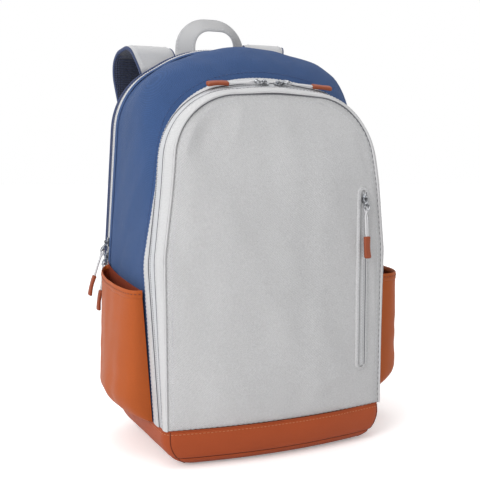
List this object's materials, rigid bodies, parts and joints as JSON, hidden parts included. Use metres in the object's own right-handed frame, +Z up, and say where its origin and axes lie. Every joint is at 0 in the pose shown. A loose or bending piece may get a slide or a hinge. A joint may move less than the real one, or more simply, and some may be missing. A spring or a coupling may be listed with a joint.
{
  "type": "racket backpack",
  "caption": "Arched soft backpack on a rounded base with a drop-front zip pocket, opening padded back, shoulder straps, carry loop and side bottle pockets.",
  "frame": {"origin": "on the floor under the middle of the body, at the centre of the flat underside", "axes": "+Z up, -Y to the front panel, +X to the right seen from the front"},
  "size_m": [0.3896, 0.2716, 0.5298],
  "materials": {
    "blue_cloth": "matte woven",
    "white_cloth": "matte woven",
    "grey_cloth": "fine matte weave",
    "rust_coated_cloth": "soft satin coated cloth",
    "navy_lining": "matte",
    "navy_mesh": "open spacer mesh",
    "navy_webbing": "ribbed webbing",
    "dark_plastic": "satin moulded",
    "zip_metal": "polished",
    "pull_cord": "braided",
    "pull_sleeve": "matte moulded"
  },
  "bodies": {
    "shell": {"base_panel": "rust_coated_cloth", "base_boot": "rust_coated_cloth", "base_board": "dark_plastic", "main_shell": "blue_cloth", "pocket_divider": "navy_lining", "racket_divider": "navy_lining", "rear_gusset": "white_cloth", "front_zip_rear_tape": "white_cloth", "main_zip_front_tape": "white_cloth", "lower_back_rim": "blue_cloth", "lower_back_panel": "blue_cloth", "lower_back_pad": "navy_mesh", "left_pocket": "rust_coated_cloth", "right_pocket": "rust_coated_cloth", "left_pocket_binding": "rust_coated_cloth", "right_pocket_binding": "rust_coated_cloth", "left_strap_anchor": "rust_coated_cloth", "right_strap_anchor": "rust_coated_cloth", "left_lower_webbing": "navy_webbing", "right_lower_webbing": "navy_webbing"},
    "front_flap": {"front_panel": "grey_cloth", "front_gusset": "white_cloth", "front_zip_front_tape": "white_cloth", "chest_welt": "grey_cloth", "chest_zip_tape": "white_cloth", "chest_pocket_lining": "navy_lining"},
    "back_flap": {"upper_back_panel": "blue_cloth", "upper_back_pad": "navy_mesh", "back_rim": "blue_cloth", "main_zip_rear_tape": "white_cloth", "handle_foot_tabs": "grey_cloth", "left_strap_face": "grey_cloth", "right_strap_face": "grey_cloth", "left_strap_pad": "navy_mesh", "right_strap_pad": "navy_mesh", "left_ladder_lock": "dark_plastic", "right_ladder_lock": "dark_plastic"},
    "handle": {"haul_handle": "grey_cloth"},
    "chest_slide": {"chest_slider": "zip_metal"},
    "chest_pull": {"chest_tab": "zip_metal", "chest_cord": "pull_cord", "chest_sleeve": "pull_sleeve"},
    "front_left_slide": {"front_left_slider": "zip_metal"},
    "front_left_pull": {"front_left_tab": "zip_metal", "front_left_cord": "pull_cord", "front_left_sleeve": "pull_sleeve"},
    "front_right_slide": {"front_right_slider": "zip_metal"},
    "front_right_pull": {"front_right_tab": "zip_metal", "front_right_cord": "pull_cord", "front_right_sleeve": "pull_sleeve"},
    "main_lower_slide": {"main_lower_slider": "zip_metal"},
    "main_lower_pull": {"main_lower_tab": "zip_metal", "main_lower_cord": "pull_cord", "main_lower_sleeve": "pull_sleeve"},
    "main_upper_slide": {"main_upper_slider": "zip_metal"},
    "main_upper_pull": {"main_upper_tab": "zip_metal", "main_upper_cord": "pull_cord", "main_upper_sleeve": "pull_sleeve"}
  },
  "joints": [
    {"name": "front_pocket_drop", "type": "hinge", "parent": "shell", "child": "front_flap", "pos_m": [0, -0.1178, 0.0432], "axis": [1, 0, 0], "range_deg": [0, 70]},
    {"name": "main_mouth", "type": "hinge", "parent": "shell", "child": "back_flap", "pos_m": [0, 0.0985, 0.2065], "axis": [-1, 0, 0], "range_deg": [0, 20], "deforming": ["left_lower_webbing", "right_lower_webbing"]},
    {"name": "handle_fold", "type": "hinge", "parent": "back_flap", "child": "handle", "pos_m": [0, 0.1, 0.485], "axis": [-1, 0, 0], "range_deg": [0, 40], "stiffness_Nm_per_rad": 0.08},
    {"name": "chest_zip", "type": "slide", "parent": "front_flap", "child": "chest_slide", "axis": [0, 0, -1], "range_m": [0, 0.187]},
    {"name": "chest_pull_lift", "type": "hinge", "parent": "chest_slide", "child": "chest_pull", "pos_m": [0.10773, -0.11168, 0.297], "axis": [-0.9869, -0.1616, 0], "range_deg": [0, 150]},
    {"name": "front_zip_left", "type": "hinge", "parent": "front_flap", "child": "front_left_slide", "pos_m": [0, -0.0765, 0.09865], "axis": [0, -1, 0], "range_deg": [0, 6]},
    {"name": "front_left_pull_lift", "type": "hinge", "parent": "front_left_slide", "child": "front_left_pull", "pos_m": [-0.00871, -0.0777, 0.43117], "axis": [-0.0109, 0.91, 0.4146], "range_deg": [0, 125]},
    {"name": "front_zip_right", "type": "hinge", "parent": "front_flap", "child": "front_right_slide", "pos_m": [0, -0.0765, 0.09865], "axis": [0, 1, 0], "range_deg": [0, 6]},
    {"name": "front_right_pull_lift", "type": "hinge", "parent": "front_right_slide", "child": "front_right_pull", "pos_m": [0.00871, -0.0777, 0.43117], "axis": [-0.0109, -0.91, -0.4146], "range_deg": [0, 125]},
    {"name": "main_zip_lower", "type": "slide", "parent": "shell", "child": "main_lower_slide", "axis": [0.0671, 0, 0.9977], "range_m": [0, 0.02]},
    {"name": "main_lower_pull_lift", "type": "hinge", "parent": "main_lower_slide", "child": "main_lower_pull", "pos_m": [-0.15382, 0.084, 0.2212], "axis": [0, 1, 0], "range_deg": [0, 100]},
    {"name": "main_zip_upper", "type": "slide", "parent": "main_lower_slide", "child": "main_upper_slide", "axis": [0.0671, 0, 0.9977], "range_m": [0, 0.118]},
    {"name": "main_upper_pull_lift", "type": "hinge", "parent": "main_upper_slide", "child": "main_upper_pull", "pos_m": [-0.15267, 0.084, 0.23819], "axis": [0, 1, 0], "range_deg": [0, 100]}
  ],
  "couplings": [
    {"joint": "main_lower_pull_lift", "follows": "main_upper_pull_lift", "ratio": 1}
  ]
}
